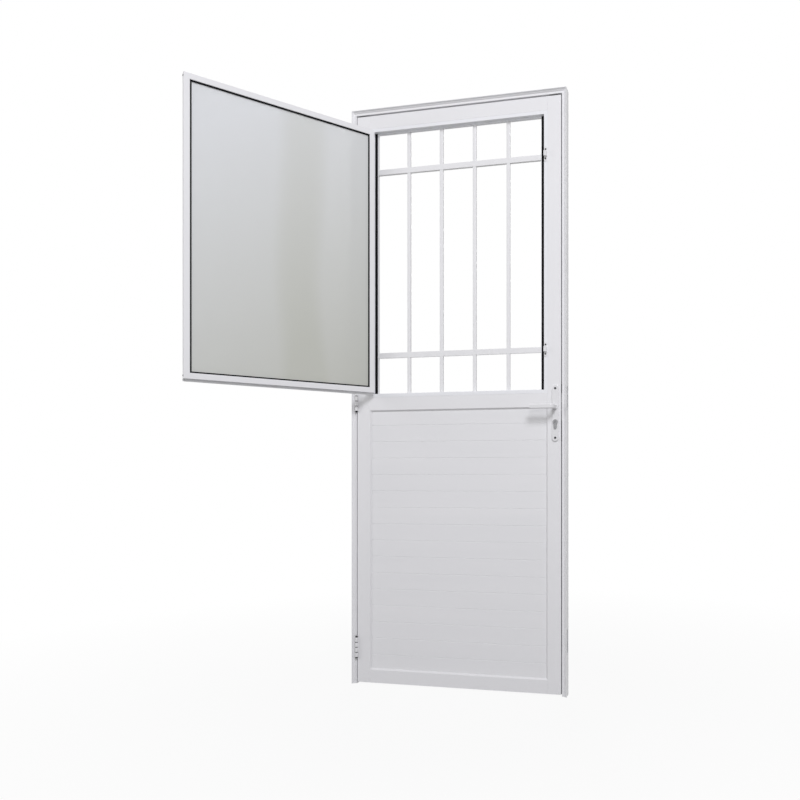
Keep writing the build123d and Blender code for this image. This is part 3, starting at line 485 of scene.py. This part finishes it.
# Studio: a pale round floor under a large soft box, with weaker ones in front, at the left and behind.
# To the eye the floor is white, and it keeps the door's shadow.
def seen_directly(nodes, links):
    path = nodes.new("ShaderNodeLightPath")
    eye_or_mirror = nodes.new("ShaderNodeMath")
    eye_or_mirror.operation = "ADD"
    or_glass = nodes.new("ShaderNodeMath")
    or_glass.operation = "ADD"
    or_glass.use_clamp = True
    links.new(path.outputs["Is Camera Ray"], eye_or_mirror.inputs[0])
    links.new(path.outputs["Is Glossy Ray"], eye_or_mirror.inputs[1])
    links.new(eye_or_mirror.outputs["Value"], or_glass.inputs[0])
    links.new(path.outputs["Is Transmission Ray"], or_glass.inputs[1])
    return or_glass.outputs["Value"]


bpy.ops.object.select_all(action="DESELECT")
bpy.ops.mesh.primitive_circle_add(vertices=64, radius=7.0, fill_type="NGON", location=(0.0, 0.0, 0.0))
floor = bpy.context.object
floor.name = "studio_floor"
floor_paint = bpy.data.materials.new("pale_floor")
floor_paint.use_nodes = True
floor_nodes = floor_paint.node_tree.nodes
floor_links = floor_paint.node_tree.links
floor_nodes.clear()
floor_out = floor_nodes.new("ShaderNodeOutputMaterial")
floor_mix = floor_nodes.new("ShaderNodeMixShader")
floor_matt = floor_nodes.new("ShaderNodeBsdfDiffuse")
floor_matt.inputs["Color"].default_value = (0.4, 0.4, 0.4, 1.0)
floor_white = floor_nodes.new("ShaderNodeEmission")
floor_white.inputs["Color"].default_value = (1.0, 1.0, 1.0, 1.0)
floor_white.inputs["Strength"].default_value = 1.0
floor_place = floor_nodes.new("ShaderNodeTexCoord")
floor_reach = floor_nodes.new("ShaderNodeVectorMath")
floor_reach.operation = "LENGTH"
floor_fade = floor_nodes.new("ShaderNodeMapRange")
floor_fade.inputs["From Min"].default_value = 0.6
floor_fade.inputs["From Max"].default_value = 2.4
floor_fade.inputs["To Min"].default_value = 0.93
floor_fade.inputs["To Max"].default_value = 1.0
floor_share = floor_nodes.new("ShaderNodeMath")
floor_share.operation = "MULTIPLY"
floor_links.new(floor_place.outputs["Object"], floor_reach.inputs[0])
floor_links.new(floor_reach.outputs["Value"], floor_fade.inputs["Value"])
floor_links.new(seen_directly(floor_nodes, floor_links), floor_share.inputs[0])
floor_links.new(floor_fade.outputs["Result"], floor_share.inputs[1])
floor_links.new(floor_share.outputs["Value"], floor_mix.inputs["Fac"])
floor_links.new(floor_matt.outputs["BSDF"], floor_mix.inputs[1])
floor_links.new(floor_white.outputs["Emission"], floor_mix.inputs[2])
floor_links.new(floor_mix.outputs["Shader"], floor_out.inputs["Surface"])
floor.data.materials.append(floor_paint)

world = bpy.data.worlds.new("studio_air")
bpy.context.scene.world = world
world.use_nodes = True
air_nodes = world.node_tree.nodes
air_links = world.node_tree.links
air_nodes.clear()
air_out = air_nodes.new("ShaderNodeOutputWorld")
air_mix = air_nodes.new("ShaderNodeMixShader")
air_light = air_nodes.new("ShaderNodeBackground")
air_light.inputs["Color"].default_value = (1.0, 0.987, 0.965, 1.0)
air_light.inputs["Strength"].default_value = 0.25
air_white = air_nodes.new("ShaderNodeBackground")
air_white.inputs["Color"].default_value = (1.0, 1.0, 1.0, 1.0)
air_white.inputs["Strength"].default_value = 1.0
air_links.new(seen_directly(air_nodes, air_links), air_mix.inputs["Fac"])
air_links.new(air_light.outputs["Background"], air_mix.inputs[1])
air_links.new(air_white.outputs["Background"], air_mix.inputs[2])
air_links.new(air_mix.outputs["Shader"], air_out.inputs["Surface"])


def soft_box(name, place, target, side, power, colour):
    lamp = bpy.data.lights.new(name, "AREA")
    lamp.shape = "SQUARE"
    lamp.size = side
    lamp.energy = power
    lamp.color = colour
    holder = bpy.data.objects.new(name, lamp)
    holder.location = place
    holder.rotation_euler = (Vector(target) - Vector(place)).to_track_quat("-Z", "Y").to_euler()
    bpy.context.scene.collection.objects.link(holder)


soft_box("key_soft_box", place=(2.6, -5.2, 5.7), target=(0.0, 0.0, 1.3),
         side=2.3, power=322.0, colour=(0.965, 0.962, 1.0))
soft_box("front_soft_box", place=(0.85, -2.3, 1.65), target=(0.0, 0.0, 1.5),
         side=0.7, power=8.5, colour=(0.975, 0.968, 1.0))
soft_box("left_soft_box", place=(-5.0, -2.8, 2.1), target=(-0.35, 0.0, 1.5),
         side=2.0, power=54.0, colour=(0.99, 0.98, 1.0))
soft_box("back_soft_box", place=(-1.2, 4.0, 3.2), target=(0.0, 0.0, 1.2),
         side=2.0, power=100.0, colour=(1.0, 0.99, 0.98))


# Camera: level, a little to the right of the door and below its middle.
# Its lens and shift, in pixels of the square picture, give the photograph's framing.
picture_side = 800.0
lens_reach = 727.5
straight_ahead_x = 540.1
straight_ahead_y = 476.5
lens = bpy.data.cameras.new("viewpoint")
lens.sensor_width = 36.0
lens.lens = lens_reach / picture_side * lens.sensor_width
lens.shift_x = -(straight_ahead_x - picture_side / 2.0) / picture_side
lens.shift_y = (straight_ahead_y - picture_side / 2.0) / picture_side
viewpoint = bpy.data.objects.new("viewpoint", lens)
viewpoint.location = (0.8464, -2.4678, 0.7597)
viewpoint.rotation_euler = (math.radians(90.0), 0.0, math.radians(12.35))
bpy.context.scene.collection.objects.link(viewpoint)
bpy.context.scene.camera = viewpoint
bpy.context.scene.view_settings.view_transform = "Standard"
